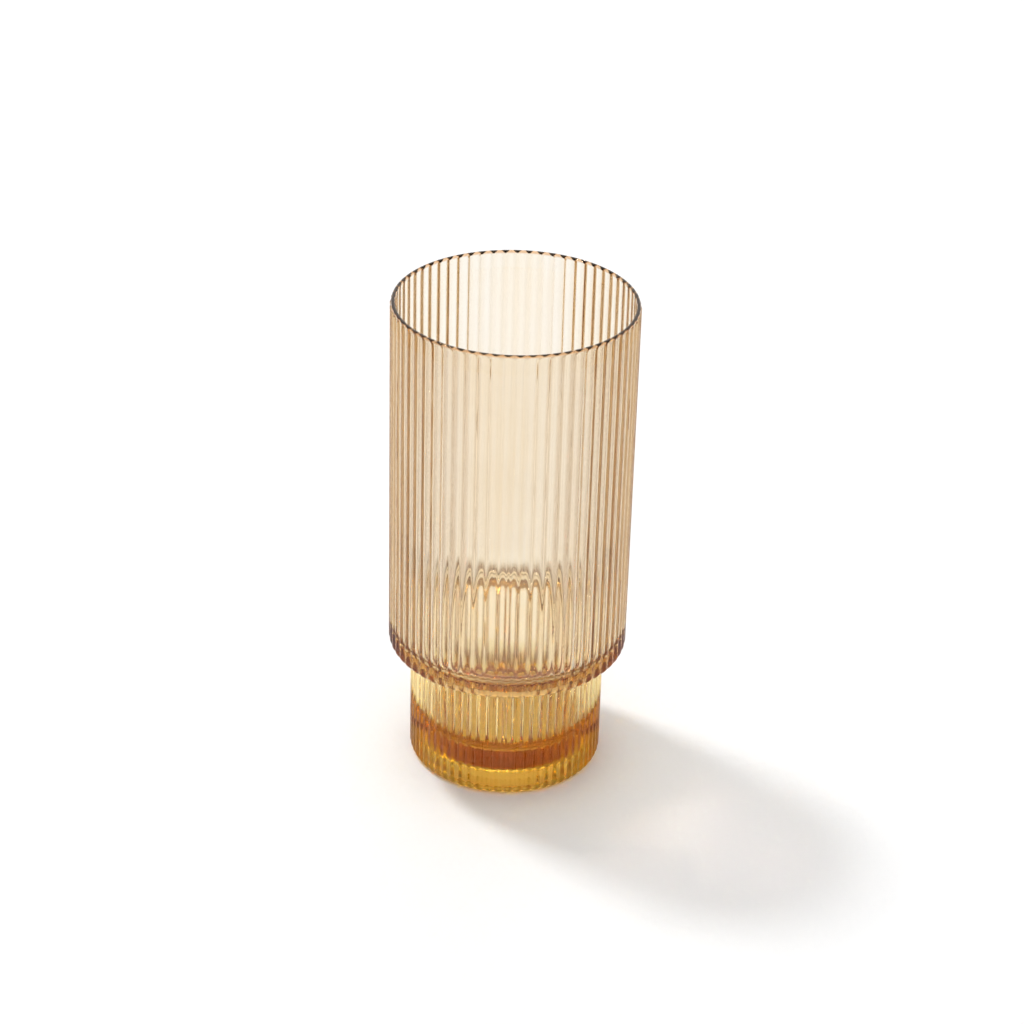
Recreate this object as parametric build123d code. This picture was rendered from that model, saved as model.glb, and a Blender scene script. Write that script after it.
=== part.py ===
from build123d import *
import math
import os

# Reeded stepped vase in clear amber glass, in millimetres.
# +Z is up. The origin is the centre of the foot, on the surface the vase stands on.
# The vase is one continuous piece of glass. Each zone that a glassmaker works in turn is
# a solid of its own, and neighbouring zones meet face to face at a hot-fused seam.

# Overall size
VASE_HEIGHT = 160.0
UPPER_CREST_RADIUS = 38.2  # over the reed crests of the wide upper cylinder
LOWER_CREST_RADIUS = 31.1  # over the reed crests of the narrow lower cylinder

# Reeds: smooth vertical waves round both cylinders. The inside follows them more shallowly.
REED_COUNT = 64
REED_HEIGHT = 0.8  # crest to valley outside, measured along the radius
INNER_WAVE_HEIGHT = 0.4  # crest to valley inside

# Inner surfaces, over the crests of the inner wave
UPPER_INNER_RADIUS = 36.8
LOWER_INNER_RADIUS = 27.8
INNER_FLOOR_HEIGHT = 12.0  # top of the solid glass base
FLOOR_CORNER_RADIUS = 9.0  # the cup has a bowl-like bottom

# Step between the two cylinders
STEP_UNDERSIDE_HEIGHT = 40.9
LEDGE_TOP_HEIGHT = 44.2
STEP_OUTER_ROUNDING = 2.0
LEDGE_CORNER_RADIUS = 5.0
CUP_MOUTH_ROUNDING = 3.2

# Rim and foot
LIP_OUTER_ROUNDING = 0.6
LIP_INNER_ROUNDING = 0.3
HEEL_ROUNDING = 2.5
RECESS_RADIUS = 24.0  # hollow underside, so that the foot stands on a ring
RECESS_DEPTH = 6.0
RECESS_CORNER_RADIUS = 3.0
STAND_EDGE_ROUNDING = 0.6

# Heights of the fused seams between zones
LIP_SEAM_HEIGHT = VASE_HEIGHT - 6.0
SHOULDER_SEAM_HEIGHT = LEDGE_TOP_HEIGHT + LEDGE_CORNER_RADIUS + 2.8
BASE_SEAM_HEIGHT = INNER_FLOOR_HEIGHT + FLOOR_CORNER_RADIUS
HEEL_SEAM_HEIGHT = RECESS_DEPTH - RECESS_CORNER_RADIUS

FROM_BOTTOM = (Align.CENTER, Align.CENTER, Align.MIN)
OVERCUT = 5.0  # how far a cutter runs past the face that it opens
CLEARANCE = 0.05  # how far a rounded column stands clear of the crests inside it


def polar(radius, angle):
    """Point on a circle in the XY plane, with the angle in radians."""
    return (radius * math.cos(angle), radius * math.sin(angle))


def waved_prism(crest_radius, wave_height, low, high):
    """Column with a smooth wave round it for each reed, from the height low to the height high."""
    pitch = 2 * math.pi / REED_COUNT
    mean_radius = crest_radius - wave_height / 2
    valley_radius = crest_radius - wave_height
    arcs = []
    for index in range(REED_COUNT):
        angle = index * pitch
        rise = polar(mean_radius, angle - pitch / 4)
        crest = polar(crest_radius, angle)
        fall = polar(mean_radius, angle + pitch / 4)
        valley = polar(valley_radius, angle + pitch / 2)
        next_rise = polar(mean_radius, angle + 3 * pitch / 4)
        arcs.append(ThreePointArc(rise, crest, fall))
        arcs.append(ThreePointArc(fall, valley, next_rise))
    outline = make_face(arcs)
    return Pos(0, 0, low) * extrude(outline, high - low)


def reeded_column(crest_radius, low, high):
    """Solid column with the outer reeds round it."""
    return waved_prism(crest_radius, REED_HEIGHT, low, high)


def bore(crest_radius, low, high):
    """Cutter for an inner surface, with the shallow inner wave."""
    return waved_prism(crest_radius, INNER_WAVE_HEIGHT, low, high)


def plain_column(radius, low, high):
    """Smooth round column from the height low to the height high."""
    return Pos(0, 0, low) * Cylinder(radius, high - low, align=FROM_BOTTOM)


def rounded_bottom(column, rounding):
    """Column with its bottom edge rounded."""
    edge = column.edges().filter_by(GeomType.CIRCLE).sort_by(Axis.Z)[0]
    return fillet(edge, rounding)


def rounded_top(column, rounding):
    """Column with its top edge rounded."""
    edge = column.edges().filter_by(GeomType.CIRCLE).sort_by(Axis.Z)[-1]
    return fillet(edge, rounding)


def rim_lip():
    """Fire-polished lip: the reeds run up to it and its edges are softened."""
    envelope = plain_column(UPPER_CREST_RADIUS + CLEARANCE, LIP_SEAM_HEIGHT - OVERCUT, VASE_HEIGHT)
    wall = reeded_column(UPPER_CREST_RADIUS, LIP_SEAM_HEIGHT, VASE_HEIGHT)
    wall &= rounded_top(envelope, LIP_OUTER_ROUNDING)
    wall -= bore(UPPER_INNER_RADIUS, LIP_SEAM_HEIGHT - OVERCUT, VASE_HEIGHT + OVERCUT)
    return wall - mouth_flare(UPPER_INNER_RADIUS - INNER_WAVE_HEIGHT, VASE_HEIGHT, LIP_INNER_ROUNDING)


def mouth_flare(radius, top, rounding):
    """Cutter that rounds the upper edge of a bore: a trumpet that opens at the height top."""
    throat = (radius, top - rounding)
    lip = (radius + rounding, top)
    slant = rounding * (1 - math.sqrt(0.5))
    profile = make_face([
        Line((0, top - rounding), throat),
        ThreePointArc(throat, (radius + slant, top - slant), lip),
        Line(lip, (radius + rounding, top + OVERCUT)),
        Line((radius + rounding, top + OVERCUT), (0, top + OVERCUT)),
        Line((0, top + OVERCUT), (0, top - rounding)),
    ])
    return revolve(Plane.XZ * profile, Axis.Z)


def upper_wall():
    """Thin straight wall of the wide cylinder."""
    wall = reeded_column(UPPER_CREST_RADIUS, SHOULDER_SEAM_HEIGHT, LIP_SEAM_HEIGHT)
    return wall - bore(UPPER_INNER_RADIUS, SHOULDER_SEAM_HEIGHT - OVERCUT, LIP_SEAM_HEIGHT + OVERCUT)


def shoulder_step():
    """Ring that steps in from the wide cylinder to the narrow one, with a soft ledge inside."""
    top = SHOULDER_SEAM_HEIGHT + OVERCUT
    envelope = plain_column(UPPER_CREST_RADIUS + CLEARANCE, STEP_UNDERSIDE_HEIGHT, top)
    ring = reeded_column(UPPER_CREST_RADIUS, STEP_UNDERSIDE_HEIGHT, SHOULDER_SEAM_HEIGHT)
    ring &= rounded_bottom(envelope, STEP_OUTER_ROUNDING)
    ledge = plain_column(UPPER_INNER_RADIUS + CLEARANCE, LEDGE_TOP_HEIGHT, top)
    ledge = rounded_bottom(ledge, LEDGE_CORNER_RADIUS) & bore(UPPER_INNER_RADIUS, LEDGE_TOP_HEIGHT, top)
    ring -= ledge
    ring -= bore(LOWER_INNER_RADIUS, STEP_UNDERSIDE_HEIGHT - OVERCUT, LEDGE_TOP_HEIGHT + OVERCUT)
    return ring - mouth_flare(LOWER_INNER_RADIUS - INNER_WAVE_HEIGHT, LEDGE_TOP_HEIGHT, CUP_MOUTH_ROUNDING)


def lower_wall():
    """Thicker straight wall of the narrow cylinder, round the cup."""
    wall = reeded_column(LOWER_CREST_RADIUS, BASE_SEAM_HEIGHT, STEP_UNDERSIDE_HEIGHT)
    return wall - bore(LOWER_INNER_RADIUS, BASE_SEAM_HEIGHT - OVERCUT, STEP_UNDERSIDE_HEIGHT + OVERCUT)


def recess():
    """Cutter for the hollow underside."""
    return rounded_top(plain_column(RECESS_RADIUS, -OVERCUT, RECESS_DEPTH), RECESS_CORNER_RADIUS)


def base_sham():
    """Heavy glass base, with the rounded corner of the inner floor in its top."""
    base = reeded_column(LOWER_CREST_RADIUS, HEEL_SEAM_HEIGHT, BASE_SEAM_HEIGHT)
    top = BASE_SEAM_HEIGHT + OVERCUT
    cup = plain_column(LOWER_INNER_RADIUS + CLEARANCE, INNER_FLOOR_HEIGHT, top)
    cup = rounded_bottom(cup, FLOOR_CORNER_RADIUS) & bore(LOWER_INNER_RADIUS, INNER_FLOOR_HEIGHT, top)
    return base - cup - recess()


def foot():
    """Rounded heel round the hollow underside, which stands on a flat ring."""
    envelope = plain_column(LOWER_CREST_RADIUS + CLEARANCE, 0, HEEL_SEAM_HEIGHT + OVERCUT)
    heel = reeded_column(LOWER_CREST_RADIUS, 0, HEEL_SEAM_HEIGHT)
    heel &= rounded_bottom(envelope, HEEL_ROUNDING)
    heel -= recess()
    lowest_edges = heel.edges().filter_by(GeomType.CIRCLE).group_by(Axis.Z)[0]
    return fillet(lowest_edges.sort_by(SortBy.RADIUS)[0], STAND_EDGE_ROUNDING)


ZONES = {
    "rim_lip": rim_lip,
    "upper_wall": upper_wall,
    "shoulder_step": shoulder_step,
    "lower_wall": lower_wall,
    "base_sham": base_sham,
    "foot": foot,
}

os.makedirs("parts", exist_ok=True)
for zone_name, make_zone in ZONES.items():
    zone = make_zone()
    zone.label = zone_name
    export_step(zone, f"parts/{zone_name}.step")
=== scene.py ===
import math

import bpy
import numpy as np
from mathutils import Matrix, Vector


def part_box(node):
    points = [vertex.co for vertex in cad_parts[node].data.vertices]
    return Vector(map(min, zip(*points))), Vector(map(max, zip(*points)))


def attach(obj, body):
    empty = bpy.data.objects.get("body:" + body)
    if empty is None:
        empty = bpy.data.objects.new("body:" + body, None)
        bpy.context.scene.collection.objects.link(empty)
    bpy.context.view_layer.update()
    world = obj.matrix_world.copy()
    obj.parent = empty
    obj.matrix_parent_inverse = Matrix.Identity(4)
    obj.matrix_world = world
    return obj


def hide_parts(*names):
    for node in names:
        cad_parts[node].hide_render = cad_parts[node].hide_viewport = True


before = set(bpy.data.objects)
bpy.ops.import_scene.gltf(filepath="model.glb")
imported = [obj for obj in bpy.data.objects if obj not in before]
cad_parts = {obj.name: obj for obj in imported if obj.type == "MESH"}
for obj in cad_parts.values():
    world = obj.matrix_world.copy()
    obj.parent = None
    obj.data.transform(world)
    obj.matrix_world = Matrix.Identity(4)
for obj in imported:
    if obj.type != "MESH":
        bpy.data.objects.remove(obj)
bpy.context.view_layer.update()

# Measures in metres. These are the roundings, reeds and gaps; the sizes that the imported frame
# gives come further down.
MM = 0.001
REED_COUNT = 64
REED_HEIGHT = 0.8 * MM  # crest to valley of the waves outside
INNER_WAVE_HEIGHT = 0.4 * MM  # crest to valley of the waves inside
STEP_OUTER_ROUNDING = 2.0 * MM
LEDGE_CORNER_RADIUS = 5.0 * MM
LEDGE_BELOW_SEAM = 7.8 * MM  # from the shoulder's fused seam down to the ledge
CUP_MOUTH_ROUNDING = 3.2 * MM
FLOOR_CORNER_RADIUS = 9.0 * MM  # the cup has a bowl-like bottom
RECESS_CORNER_RADIUS = 3.0 * MM
LIP_ROUNDING = 0.35 * MM
WAVE_FADE = 0.9 * MM  # height over which the reeds settle into a plain circle below the lip
HEEL_ROUNDING = 2.5 * MM
STAND_EDGE_ROUNDING = 0.6 * MM

# How fine the meshes are
SAMPLES_PER_REED = 16
ARC_STEPS = 10  # bands in a quarter-turn rounding
FADE_STEPS = 8
ROW_SPACING = 2.2 * MM  # the most that heights_between() leaves between two rows
UPPER_WALL_ROWS = 12  # outside, where the wall is quite straight
FLOOR_RINGS = (0.1, 0.25, 0.45, 0.65, 0.85)  # shares of a flat floor's radius
LEDGE_RINGS = (0.66, 0.33)  # shares of the ledge's width
SHARP_ANGLE = math.radians(40)  # edges sharper than this are not smoothed

SEAM_GAP = 0.002 * MM  # from a fused seam to the face on either side, so light meets them in order
FLOOR_CLEARANCE = 0.08 * MM  # air under the foot

GLASS_IOR = 1.52

# Absorption of red, green and blue over one vase radius of glass. The thicker zones absorb less
# over the same length, which stands for colour that lies near the surface.
WALL_TINT = (2.6, 4.7, 8.4)
SHOULDER_TINT = (1.6, 3.2, 7.0)
CUP_TINT = (0.15, 0.85, 3.5)
BASE_TINT = (0.6, 1.6, 6.5)


def smallest_radius(node):
    """Distance from the axis to the nearest point of a CAD node."""
    return min(math.hypot(v.co.x, v.co.y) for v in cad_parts[node].data.vertices)


UPPER_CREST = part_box("upper_wall")[1].x
LOWER_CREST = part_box("lower_wall")[1].x
UPPER_INNER = smallest_radius("upper_wall") + INNER_WAVE_HEIGHT
LOWER_INNER = smallest_radius("lower_wall") + INNER_WAVE_HEIGHT
RIM_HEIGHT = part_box("rim_lip")[1].z
LIP_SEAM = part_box("rim_lip")[0].z
SHOULDER_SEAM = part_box("shoulder_step")[1].z
STEP_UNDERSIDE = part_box("shoulder_step")[0].z
BASE_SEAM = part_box("base_sham")[1].z
HEEL_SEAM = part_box("foot")[1].z
LEDGE_TOP = SHOULDER_SEAM - LEDGE_BELOW_SEAM
INNER_FLOOR = BASE_SEAM - FLOOR_CORNER_RADIUS
RECESS_RADIUS = smallest_radius("foot")
RECESS_DEPTH = HEEL_SEAM + RECESS_CORNER_RADIUS


# ---------------------------------------------------------------- outline of the reeds

AROUND = REED_COUNT * SAMPLES_PER_REED
ANGLES = np.arange(AROUND) * 2 * math.pi / AROUND


def wave_outline(crest_radius, wave_height):
    """Radius at each angle: a smooth wave for each reed."""
    return crest_radius - wave_height * (1 - np.cos(ANGLES * REED_COUNT)) / 2


UPPER_REEDS = wave_outline(UPPER_CREST, REED_HEIGHT)
LOWER_REEDS = wave_outline(LOWER_CREST, REED_HEIGHT)
UPPER_INSIDE = wave_outline(UPPER_INNER, INNER_WAVE_HEIGHT)
LOWER_INSIDE = wave_outline(LOWER_INNER, INNER_WAVE_HEIGHT)


# Waves of the uneven inner wall: size in mm, number round the vase, and phase in radians, first
# per metre of height and then at the foot.
WOBBLE_WAVES = (
    (0.030, 2, 55.0, 0.4),
    (0.022, 3, -90.0, 2.1),
    (0.016, 5, 190.0, 4.4),
    (0.012, 9, 320.0, 1.0),
    (0.010, 14, -410.0, 3.3),
    (0.008, 23, 620.0, 5.2),
)


def wobble(height):
    """Slight unevenness of the blown inner wall, round the vase at one height."""
    total = np.zeros_like(ANGLES)
    for size, turns, rise, phase in WOBBLE_WAVES:
        total += size * MM * np.sin(turns * ANGLES + rise * height + phase)
    return total


# ---------------------------------------------------------------- rows of a zone's surface

class Zone:
    """A closed surface made of rows of points round the axis, joined by bands of faces."""

    def __init__(self):
        self.rows = []
        self.seams = []

    def row(self, radius, height, seam=False):
        """Adds a row. seam tells whether the band that ends at this row is a fused seam."""
        radii = np.broadcast_to(radius, ANGLES.shape)
        heights = np.broadcast_to(height, ANGLES.shape)
        self.rows.append((radii, heights))
        self.seams.append(seam)

    def pole(self, height):
        """Adds a single point on the axis."""
        self.rows.append((None, height))
        self.seams.append(False)


def heights_between(start, end):
    """Evenly spaced heights from start to end."""
    count = max(2, int(math.ceil(abs(end - start) / ROW_SPACING)) + 1)
    return np.linspace(start, end, count)


def quarter(count=ARC_STEPS):
    """Angles of a quarter turn, for a rounding."""
    return np.linspace(0, math.pi / 2, count + 1)


def build(name, zone, material):
    """Makes the mesh object of a zone, marks its seam faces and rides it on the vase."""
    points = []
    starts = []
    for radius, height in zone.rows:
        starts.append(len(points))
        if radius is None:
            points.append((0, 0, height))
            continue
        xs = radius * np.cos(ANGLES)
        ys = radius * np.sin(ANGLES)
        points.extend(zip(xs.tolist(), ys.tolist(), height.tolist()))
    faces = []
    on_seam = []
    order = list(range(len(zone.rows)))
    pairs = list(zip(order, order[1:]))
    starts_at_pole = zone.rows[0][0] is None
    if not starts_at_pole:
        pairs.append((order[-1], 0))
    for a, b in pairs:
        pole_a = zone.rows[a][0] is None
        pole_b = zone.rows[b][0] is None
        for i in range(AROUND):
            j = (i + 1) % AROUND
            if pole_a:
                faces.append((starts[a], starts[b] + j, starts[b] + i))
            elif pole_b:
                faces.append((starts[a] + i, starts[a] + j, starts[b]))
            else:
                faces.append((starts[a] + i, starts[a] + j, starts[b] + j, starts[b] + i))
            on_seam.append(zone.seams[b])
    mesh = bpy.data.meshes.new(name)
    mesh.from_pydata(points, [], faces)
    mesh.polygons.foreach_set("use_smooth", [not seam for seam in on_seam])
    ior = mesh.attributes.new("surface_ior", "FLOAT", "FACE")
    ior.data.foreach_set("value", [1.0 if seam else GLASS_IOR for seam in on_seam])
    mesh.set_sharp_from_angle(angle=SHARP_ANGLE)
    mesh.materials.append(material)
    mesh.update()
    piece = bpy.data.objects.new(name + "_glass", mesh)
    bpy.context.scene.collection.objects.link(piece)
    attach(piece, "root")
    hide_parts(name)


def fading_wave(wave, height):
    """A wavy outline that settles into a plain circle just below the lip."""
    share = min(1, max(0, (RIM_HEIGHT - LIP_ROUNDING - height) / WAVE_FADE))
    smooth_share = share * share * (3 - 2 * share)
    middle = (wave.max() + wave.min()) / 2
    return middle + (wave - middle) * smooth_share


def rim_lip():
    """Lip with a rounded top. Its reeds settle into a plain circle."""
    zone = Zone()
    low = LIP_SEAM + SEAM_GAP
    shoulder = RIM_HEIGHT - LIP_ROUNDING
    fade_start = shoulder - WAVE_FADE
    zone.row(UPPER_REEDS, low, seam=True)
    for height in heights_between(low, fade_start)[1:-1]:
        zone.row(UPPER_REEDS, height)
    for height in np.linspace(fade_start, shoulder, FADE_STEPS):
        zone.row(fading_wave(UPPER_REEDS, height), height)
    for turn in quarter()[1:]:
        inset = LIP_ROUNDING * (1 - math.cos(turn))
        zone.row(fading_wave(UPPER_REEDS, RIM_HEIGHT) - inset, shoulder + LIP_ROUNDING * math.sin(turn))
    for turn in quarter():
        inset = LIP_ROUNDING * (1 - math.sin(turn))
        height = shoulder + LIP_ROUNDING * math.cos(turn)
        zone.row(fading_wave(UPPER_INSIDE, RIM_HEIGHT) + wobble(RIM_HEIGHT) + inset, height)
    for height in np.linspace(shoulder, fade_start, FADE_STEPS)[1:]:
        zone.row(fading_wave(UPPER_INSIDE, height) + wobble(height), height)
    for height in heights_between(fade_start, low)[1:]:
        zone.row(UPPER_INSIDE + wobble(height), height)
    return zone


def upper_wall():
    """Thin reeded wall, between two seams."""
    zone = Zone()
    low = SHOULDER_SEAM + SEAM_GAP
    high = LIP_SEAM - SEAM_GAP
    zone.row(UPPER_REEDS, low, seam=True)
    for height in np.linspace(low, high, UPPER_WALL_ROWS)[1:]:
        zone.row(UPPER_REEDS, height)
    zone.row(UPPER_INSIDE + wobble(high), high, seam=True)
    for height in heights_between(high, low)[1:]:
        zone.row(UPPER_INSIDE + wobble(height), height)
    return zone


def shoulder_step():
    """Step from the wide cylinder to the narrow one, with the ledge and the cup's mouth inside."""
    zone = Zone()
    low = STEP_UNDERSIDE + SEAM_GAP
    high = SHOULDER_SEAM - SEAM_GAP
    corner = UPPER_CREST - STEP_OUTER_ROUNDING
    zone.row(LOWER_REEDS, STEP_UNDERSIDE)
    zone.row((LOWER_CREST + corner) / 2, STEP_UNDERSIDE)
    for turn in quarter(2 * ARC_STEPS):
        envelope = corner + STEP_OUTER_ROUNDING * math.sin(turn)
        height = STEP_UNDERSIDE + STEP_OUTER_ROUNDING * (1 - math.cos(turn))
        zone.row(np.minimum(UPPER_REEDS, envelope), height)
    for height in heights_between(STEP_UNDERSIDE + STEP_OUTER_ROUNDING, high)[1:]:
        zone.row(UPPER_REEDS, height)
    zone.row(UPPER_INSIDE + wobble(high), high, seam=True)
    for turn in quarter():
        radius = UPPER_INSIDE - LEDGE_CORNER_RADIUS * (1 - math.cos(turn))
        height = LEDGE_TOP + LEDGE_CORNER_RADIUS * (1 - math.sin(turn))
        zone.row(radius + wobble(height), height)
    mouth_edge = LOWER_INSIDE + CUP_MOUTH_ROUNDING
    ledge_edge = UPPER_INSIDE - LEDGE_CORNER_RADIUS
    for share in LEDGE_RINGS:
        zone.row(mouth_edge + (ledge_edge - mouth_edge) * share, LEDGE_TOP)
    for turn in quarter():
        radius = mouth_edge - CUP_MOUTH_ROUNDING * math.sin(turn)
        height = LEDGE_TOP - CUP_MOUTH_ROUNDING * (1 - math.cos(turn))
        zone.row(radius + wobble(height), height)
    zone.row(LOWER_INSIDE + wobble(low), low)
    zone.row(LOWER_REEDS, low, seam=True)
    return zone


def lower_wall():
    """Thicker reeded wall round the cup, between two seams."""
    zone = Zone()
    low = BASE_SEAM + SEAM_GAP
    high = STEP_UNDERSIDE - SEAM_GAP
    zone.row(LOWER_REEDS, low, seam=True)
    for height in heights_between(low, high)[1:]:
        zone.row(LOWER_REEDS, height)
    zone.row(LOWER_INSIDE + wobble(high), high, seam=True)
    for height in heights_between(high, low)[1:]:
        zone.row(LOWER_INSIDE + wobble(height), height)
    return zone


def base_sham():
    """Heavy base, with the hollow of the underside below and the bottom of the cup above."""
    zone = Zone()
    low = HEEL_SEAM + SEAM_GAP
    high = BASE_SEAM - SEAM_GAP
    recess_flat = RECESS_RADIUS - RECESS_CORNER_RADIUS
    zone.pole(RECESS_DEPTH)
    for share in FLOOR_RINGS:
        zone.row(recess_flat * share, RECESS_DEPTH)
    for turn in quarter():
        radius = recess_flat + RECESS_CORNER_RADIUS * math.sin(turn)
        zone.row(radius, max(low, HEEL_SEAM + RECESS_CORNER_RADIUS * math.cos(turn)))
    zone.row(LOWER_REEDS, low, seam=True)
    for height in heights_between(low, high)[1:]:
        zone.row(LOWER_REEDS, height)
    zone.row(LOWER_INSIDE + wobble(high), high, seam=True)
    flat_edge = LOWER_INSIDE - FLOOR_CORNER_RADIUS
    for turn in quarter()[1:]:
        radius = flat_edge + FLOOR_CORNER_RADIUS * math.cos(turn)
        height = BASE_SEAM - FLOOR_CORNER_RADIUS * math.sin(turn)
        zone.row(radius + wobble(height), height)
    for share in reversed(FLOOR_RINGS):
        zone.row(flat_edge * share, INNER_FLOOR)
    zone.pole(INNER_FLOOR)
    return zone


def foot():
    """Rounded heel round the hollow, which stands on a flat ring."""
    zone = Zone()
    high = HEEL_SEAM - SEAM_GAP
    stand = LOWER_CREST - HEEL_ROUNDING
    stand_edge = RECESS_RADIUS + STAND_EDGE_ROUNDING
    zone.row(RECESS_RADIUS, high, seam=True)
    for turn in quarter():
        height = STAND_EDGE_ROUNDING * (1 - math.sin(turn))
        zone.row(stand_edge - STAND_EDGE_ROUNDING * math.cos(turn), height)
    for turn in quarter(2 * ARC_STEPS):
        envelope = stand + HEEL_ROUNDING * math.sin(turn)
        zone.row(np.minimum(LOWER_REEDS, envelope), HEEL_ROUNDING * (1 - math.cos(turn)))
    zone.row(LOWER_REEDS, high)
    return zone


# ---------------------------------------------------------------- materials

CORD_SCALE = 70.0  # cords and waves in the glass, per metre across the vase
CORD_STRETCH = 0.25  # share of that scale along the height, so that the cords are drawn out
CORD_DETAIL = 3.0
CORD_EDGES = (0.40, 0.60)  # noise values at which a cord has its full tint and none
CORD_TINT = (1.0, 0.975, 0.93, 1)
WAVE_HEIGHT = 0.02 * MM
# Painted shade: a deeper amber just below the lip, standing in for the brown the rim shows where light
# runs down the length of the wall.
LIP_PAINTED_SHADE = (0.82, 0.45, 0.22, 1)
LIP_PAINTED_SHADE_DEPTH = 0.9 * MM
PLAIN_GLOSS_TINT = (1, 1, 1, 1)
LIP_GLOSS_TINT = (1.0, 0.6, 0.35, 1)
BASE_GLOSS_TINT = (1.0, 0.8, 0.55, 1)
POLISH_SCALE = 900.0
POLISH_DETAIL = 2.0
POLISH_EDGES = (0.35, 0.75)  # noise values that give the least and the most roughness
POLISH_ROUGHNESS = (0.0, 0.035)


def glass_surface(tree, shader, lip_height):
    """Faint warm cords, waves and uneven fire polish, and painted shade just below the lip if there is
    one.
    """
    place = tree.nodes.new("ShaderNodeTexCoord")
    drawn_out = tree.nodes.new("ShaderNodeMapping")
    drawn_out.inputs["Scale"].default_value = (1, 1, CORD_STRETCH)
    tree.links.new(place.outputs["Object"], drawn_out.inputs["Vector"])
    cords = tree.nodes.new("ShaderNodeTexNoise")
    cords.inputs["Scale"].default_value = CORD_SCALE
    cords.inputs["Detail"].default_value = CORD_DETAIL
    tree.links.new(drawn_out.outputs["Vector"], cords.inputs["Vector"])

    tint = tree.nodes.new("ShaderNodeValToRGB")
    tint.color_ramp.elements[0].position = CORD_EDGES[0]
    tint.color_ramp.elements[0].color = CORD_TINT
    tint.color_ramp.elements[1].position = CORD_EDGES[1]
    tint.color_ramp.elements[1].color = (1, 1, 1, 1)
    tree.links.new(cords.outputs["Fac"], tint.inputs["Fac"])
    colour = tint.outputs["Color"]
    # Painted shade just below the lip.
    if lip_height is not None:
        colour = painted_lip_shade(tree, place, colour, lip_height)
    tree.links.new(colour, shader.inputs["Base Color"])

    waves = tree.nodes.new("ShaderNodeBump")
    waves.inputs["Distance"].default_value = WAVE_HEIGHT
    tree.links.new(cords.outputs["Fac"], waves.inputs["Height"])
    tree.links.new(waves.outputs["Normal"], shader.inputs["Normal"])

    polish = tree.nodes.new("ShaderNodeTexNoise")
    polish.inputs["Scale"].default_value = POLISH_SCALE
    polish.inputs["Detail"].default_value = POLISH_DETAIL
    tree.links.new(place.outputs["Object"], polish.inputs["Vector"])
    roughness = tree.nodes.new("ShaderNodeMapRange")
    roughness.inputs["From Min"].default_value = POLISH_EDGES[0]
    roughness.inputs["From Max"].default_value = POLISH_EDGES[1]
    roughness.inputs["To Min"].default_value = POLISH_ROUGHNESS[0]
    roughness.inputs["To Max"].default_value = POLISH_ROUGHNESS[1]
    tree.links.new(polish.outputs["Fac"], roughness.inputs["Value"])
    tree.links.new(roughness.outputs["Result"], shader.inputs["Roughness"])


def painted_lip_shade(tree, place, colour, lip_height):
    """Painted shade: a deeper amber just below the lip, standing in for the brown the rim shows where
    light runs down the length of the wall.
    """
    height = tree.nodes.new("ShaderNodeSeparateXYZ")
    tree.links.new(place.outputs["Object"], height.inputs["Vector"])
    share = tree.nodes.new("ShaderNodeMapRange")
    share.inputs["From Min"].default_value = lip_height - LIP_PAINTED_SHADE_DEPTH
    share.inputs["From Max"].default_value = lip_height - LIP_ROUNDING
    tree.links.new(height.outputs["Z"], share.inputs["Value"])
    mix = tree.nodes.new("ShaderNodeMix")
    mix.data_type = "RGBA"
    mix.inputs["B"].default_value = LIP_PAINTED_SHADE
    tree.links.new(share.outputs["Result"], mix.inputs["Factor"])
    tree.links.new(colour, mix.inputs["A"])
    return mix.outputs["Result"]


def amber_glass(name, tint, gloss_tint=PLAIN_GLOSS_TINT, lip_height=None):
    """Clear amber glass. Its tint is in its depth, so it deepens where the glass is thick.

    Each face carries its own refraction, which is none on a fused seam.
    """
    material = bpy.data.materials.new(name)
    material.use_nodes = True
    tree = material.node_tree
    shader = tree.nodes["Principled BSDF"]
    shader.inputs["Transmission Weight"].default_value = 1.0
    shader.inputs["Specular Tint"].default_value = gloss_tint
    glass_surface(tree, shader, lip_height)
    ior = tree.nodes.new("ShaderNodeAttribute")
    ior.attribute_name = "surface_ior"
    tree.links.new(ior.outputs["Fac"], shader.inputs["IOR"])
    depth = tree.nodes.new("ShaderNodeVolumeAbsorption")
    depth.inputs["Color"].default_value = (*[1 - share / max(tint) for share in tint], 1)
    depth.inputs["Density"].default_value = max(tint) / UPPER_CREST
    tree.links.new(depth.outputs["Volume"], tree.nodes["Material Output"].inputs["Volume"])
    return material


FLOOR_WHITE = 0.86


def pale_floor():
    """Matt pale floor."""
    material = bpy.data.materials.new("pale_floor")
    material.use_nodes = True
    shader = material.node_tree.nodes["Principled BSDF"]
    shader.inputs["Base Color"].default_value = (FLOOR_WHITE, FLOOR_WHITE, FLOOR_WHITE, 1)
    shader.inputs["Roughness"].default_value = 1.0
    shader.inputs["Specular IOR Level"].default_value = 0.0
    return material


# ---------------------------------------------------------------- studio

VASE_CENTRE = Vector((0, 0, RIM_HEIGHT / 2))
CAMERA_ELEVATION = math.radians(29.51)
CAMERA_ROLL = math.radians(1.563)
CAMERA_DISTANCE = 5.549 * RIM_HEIGHT
CAMERA_AIM = Vector((0.00325 * RIM_HEIGHT, 0, 0.5418 * RIM_HEIGHT))
CAMERA_LENS_MM = 99.07
CAMERA_SENSOR_MM = 36
CAMERA_NEAR = 0.01


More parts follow.
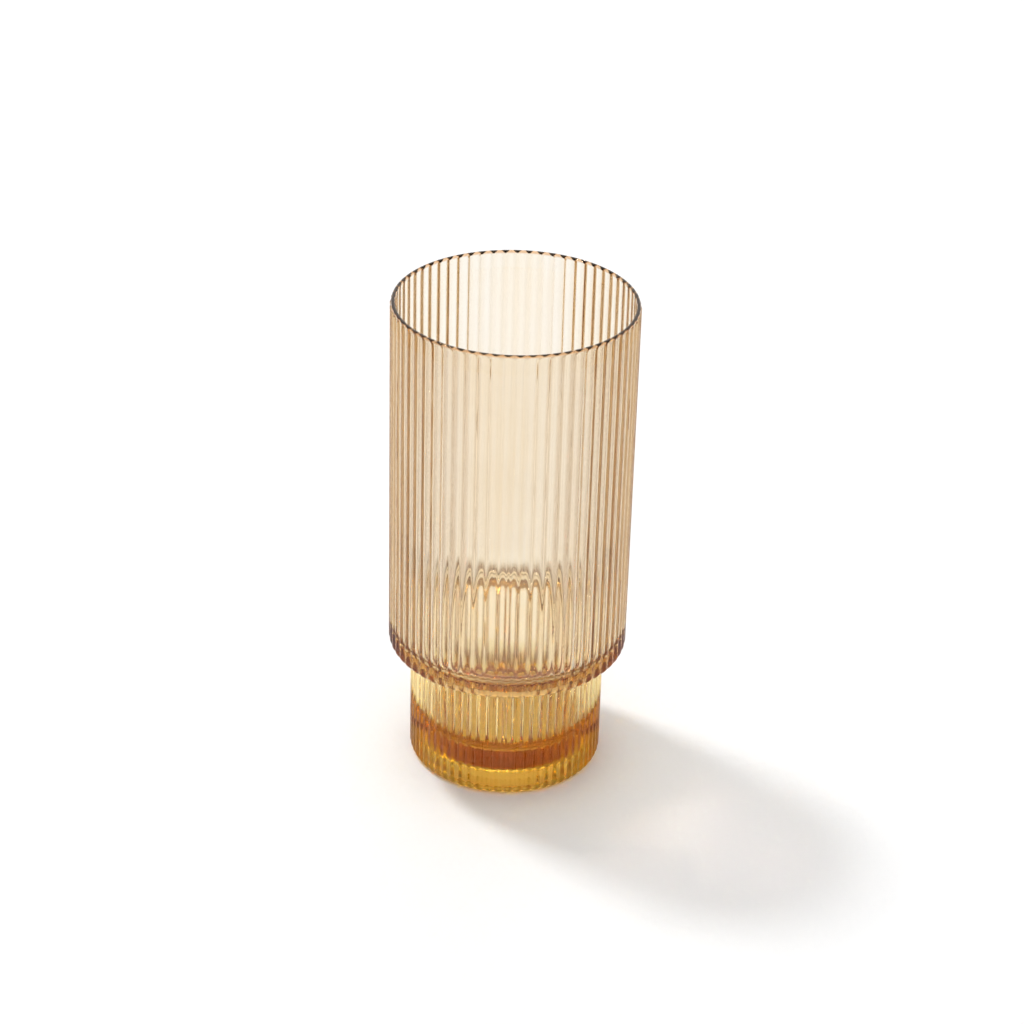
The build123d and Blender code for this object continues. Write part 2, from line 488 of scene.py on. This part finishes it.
def add_camera():
    """Camera in front of the vase, looking down at it and turned slightly about its own axis."""
    data = bpy.data.cameras.new("camera")
    data.lens = CAMERA_LENS_MM
    data.sensor_width = CAMERA_SENSOR_MM
    data.clip_start = CAMERA_NEAR
    camera = bpy.data.objects.new("camera", data)
    bpy.context.scene.collection.objects.link(camera)
    back = Vector((0, -math.cos(CAMERA_ELEVATION), math.sin(CAMERA_ELEVATION)))
    right = Vector((1, 0, 0))
    up = back.cross(right)
    tilted_right = right * math.cos(CAMERA_ROLL) + up * math.sin(CAMERA_ROLL)
    tilted_up = up * math.cos(CAMERA_ROLL) - right * math.sin(CAMERA_ROLL)
    turn = Matrix((tilted_right, tilted_up, back)).transposed().to_4x4()
    camera.matrix_world = Matrix.Translation(CAMERA_AIM + back * CAMERA_DISTANCE) @ turn
    bpy.context.scene.camera = camera


KEY_AZIMUTH = math.radians(141.8)  # from +X, so behind the vase and to its left
KEY_ELEVATION = math.radians(61)
KEY_DISTANCE = 2.0
KEY_DIAMETER = 0.30
KEY_POWER = 19.0


def add_key():
    """Soft round lamp behind the vase, which casts the shadow."""
    data = bpy.data.lights.new("key", "AREA")
    data.shape = "DISK"
    data.size = KEY_DIAMETER
    data.energy = KEY_POWER
    key = bpy.data.objects.new("key", data)
    bpy.context.scene.collection.objects.link(key)
    direction = Vector((
        math.cos(KEY_ELEVATION) * math.cos(KEY_AZIMUTH),
        math.cos(KEY_ELEVATION) * math.sin(KEY_AZIMUTH),
        math.sin(KEY_ELEVATION),
    ))
    key.location = VASE_CENTRE + direction * KEY_DISTANCE
    key.rotation_euler = direction.to_track_quat("Z", "Y").to_euler()


# Brightness of the surroundings. Each part fades away from its own direction, by a power.
WORLD_HORIZON = 0.75  # at the level of the table
HORIZON_POWER = 3.0
WORLD_OVERHEAD = 2.00  # straight above
OVERHEAD_POWER = 4.0
BACK_PANEL = 1.20  # straight behind the vase
BACK_PANEL_POWER = 3.0


def add_world():
    """Pale surroundings: a large soft ceiling, and a white wall behind the vase."""
    world = bpy.data.worlds.new("studio")
    world.use_nodes = True
    tree = world.node_tree

    def math_node(operation, first, second):
        node = tree.nodes.new("ShaderNodeMath")
        node.operation = operation
        for slot, value in ((0, first), (1, second)):
            if isinstance(value, (int, float)):
                node.inputs[slot].default_value = value
            else:
                tree.links.new(value, node.inputs[slot])
        return node.outputs["Value"]

    place = tree.nodes.new("ShaderNodeTexCoord")
    split = tree.nodes.new("ShaderNodeSeparateXYZ")
    tree.links.new(place.outputs["Generated"], split.inputs["Vector"])
    height = math_node("MAXIMUM", split.outputs["Z"], 0.0)
    ceiling = math_node("MULTIPLY", math_node("POWER", height, OVERHEAD_POWER), WORLD_OVERHEAD)
    behind = math_node("MAXIMUM", split.outputs["Y"], 0.0)
    panel = math_node("MULTIPLY", math_node("POWER", behind, BACK_PANEL_POWER), BACK_PANEL)
    below = math_node("SUBTRACT", 1.0, height)
    horizon = math_node("MULTIPLY", math_node("POWER", below, HORIZON_POWER), WORLD_HORIZON)
    total = math_node("ADD", math_node("ADD", ceiling, panel), horizon)
    background = tree.nodes["Background"]
    background.inputs["Color"].default_value = (1, 1, 1, 1)
    tree.links.new(total, background.inputs["Strength"])
    bpy.context.scene.world = world


FLOOR_HALF_WIDTH = 4.0


def add_floor():
    """Large flat floor just under the foot."""
    mesh = bpy.data.meshes.new("floor")
    half = FLOOR_HALF_WIDTH
    level = -FLOOR_CLEARANCE
    corners = [(-half, -half, level), (half, -half, level), (half, half, level), (-half, half, level)]
    mesh.from_pydata(corners, [], [(0, 1, 2, 3)])
    mesh.materials.append(pale_floor())
    floor = bpy.data.objects.new("floor", mesh)
    bpy.context.scene.collection.objects.link(floor)


GLASS_BOUNCES = 96
DIFFUSE_BOUNCES = 4


def set_light_paths():
    """Lets light pass through all the layers of glass, and keeps the bright pattern it throws."""
    scene = bpy.context.scene
    scene.view_settings.view_transform = "Standard"
    scene.cycles.max_bounces = GLASS_BOUNCES
    scene.cycles.transmission_bounces = GLASS_BOUNCES
    scene.cycles.glossy_bounces = GLASS_BOUNCES
    scene.cycles.diffuse_bounces = DIFFUSE_BOUNCES
    scene.cycles.sample_clamp_indirect = 0.0
    scene.cycles.blur_glossy = 0.0


rim_glass = amber_glass("amber_glass_rim", WALL_TINT, LIP_GLOSS_TINT, lip_height=RIM_HEIGHT)
wall_glass = amber_glass("amber_glass_wall", WALL_TINT)
shoulder_glass = amber_glass("amber_glass_shoulder", SHOULDER_TINT)
cup_glass = amber_glass("amber_glass_cup", CUP_TINT)
base_glass = amber_glass("amber_glass_base", BASE_TINT, BASE_GLOSS_TINT)
build("rim_lip", rim_lip(), rim_glass)
build("upper_wall", upper_wall(), wall_glass)
build("shoulder_step", shoulder_step(), shoulder_glass)
build("lower_wall", lower_wall(), cup_glass)
build("base_sham", base_sham(), base_glass)
build("foot", foot(), base_glass)
add_camera()
add_key()
add_world()
add_floor()
set_light_paths()
